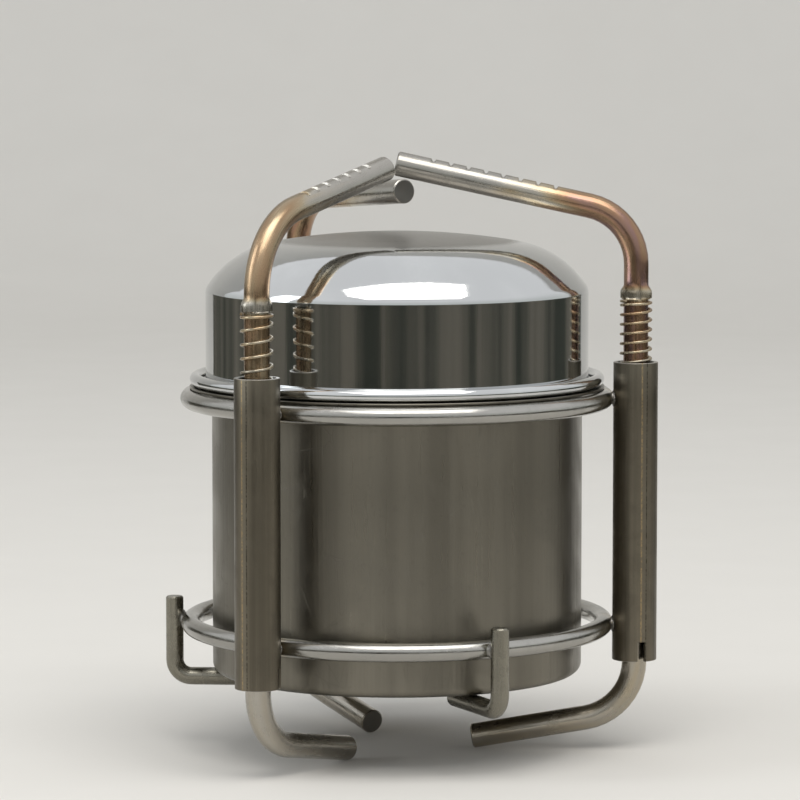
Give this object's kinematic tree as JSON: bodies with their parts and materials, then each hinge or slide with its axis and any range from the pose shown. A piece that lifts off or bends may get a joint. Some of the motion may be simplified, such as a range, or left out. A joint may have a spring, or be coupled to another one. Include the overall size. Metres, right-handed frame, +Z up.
{
  "type": "alcohol stove",
  "caption": "Spirit burner cup with a tall domed lid, hung in a welded wire stand whose one-piece sprung arms and legs swing in to pack.",
  "frame": {"origin": "on the cup's axis, at the level of the ground that the three leg tips stand on", "axes": "+Z up along the cup's axis; tube 1 is towards -Y, tube 2 towards +X and +Y, tube 3 towards -X and +Y"},
  "size_m": [0.0926, 0.1002, 0.1216],
  "materials": {
    "ring_wire": "polished wire",
    "tube_steel": "dull drawn tube",
    "bushing_steel": "turned",
    "hook_wire": "polished wire",
    "rod_steel": "satin, heat tinted",
    "spring_wire": "bright wire, heat tinted",
    "cup_steel": "satin, brushed upwards",
    "head_steel": "satin",
    "lid_steel": "mirror polished",
    "wick_fibre": "packed mineral fibre"
  },
  "bodies": {
    "cage": {"upper_ring": "ring_wire", "lower_ring": "ring_wire", "tube_1": "tube_steel", "spring_seat_1": "bushing_steel", "lower_bushing_1": "bushing_steel", "hook_1": "hook_wire", "tube_2": "tube_steel", "spring_seat_2": "bushing_steel", "lower_bushing_2": "bushing_steel", "hook_2": "hook_wire", "tube_3": "tube_steel", "spring_seat_3": "bushing_steel", "lower_bushing_3": "bushing_steel", "hook_3": "hook_wire"},
    "coil_1": {"spring_1": "spring_wire"},
    "arm_and_leg_1": {"rod_1": "rod_steel"},
    "coil_2": {"spring_2": "spring_wire"},
    "arm_and_leg_2": {"rod_2": "rod_steel"},
    "coil_3": {"spring_3": "spring_wire"},
    "arm_and_leg_3": {"rod_3": "rod_steel"},
    "burner": {"fuel_cup": "cup_steel", "burner_head": "head_steel", "inner_wall": "head_steel", "wick": "wick_fibre"},
    "lid_body": {"lid": "lid_steel"}
  },
  "joints": [
    {"name": "rod_1_turn", "type": "hinge", "parent": "cage", "child": "coil_1", "pos_m": [0, -0.0483, 0.049], "axis": [0, 0, -1], "range_deg": [0, 180]},
    {"name": "rod_1_press", "type": "slide", "parent": "coil_1", "child": "arm_and_leg_1", "axis": [0, 0, 1], "range_m": [-0.003, 0], "stiffness_N_per_m": 650, "springref_m": 0.005, "deforming": ["spring_1"]},
    {"name": "rod_2_turn", "type": "hinge", "parent": "cage", "child": "coil_2", "pos_m": [0.04183, 0.02415, 0.049], "axis": [0, 0, -1], "range_deg": [0, 180]},
    {"name": "rod_2_press", "type": "slide", "parent": "coil_2", "child": "arm_and_leg_2", "axis": [0, 0, 1], "range_m": [-0.003, 0], "stiffness_N_per_m": 650, "springref_m": 0.005, "deforming": ["spring_2"]},
    {"name": "rod_3_turn", "type": "hinge", "parent": "cage", "child": "coil_3", "pos_m": [-0.04183, 0.02415, 0.049], "axis": [0, 0, -1], "range_deg": [0, 180]},
    {"name": "rod_3_press", "type": "slide", "parent": "coil_3", "child": "arm_and_leg_3", "axis": [0, 0, 1], "range_m": [-0.003, 0], "stiffness_N_per_m": 650, "springref_m": 0.005, "deforming": ["spring_3"]},
    {"name": "burner_lift", "type": "slide", "parent": "cage", "child": "burner", "axis": [0, 0, 1], "range_m": [0, 0.004]},
    {"name": "lid_lift", "type": "slide", "parent": "burner", "child": "lid_body", "axis": [0, 0, 1], "range_m": [0, 0.004]}
  ]
}
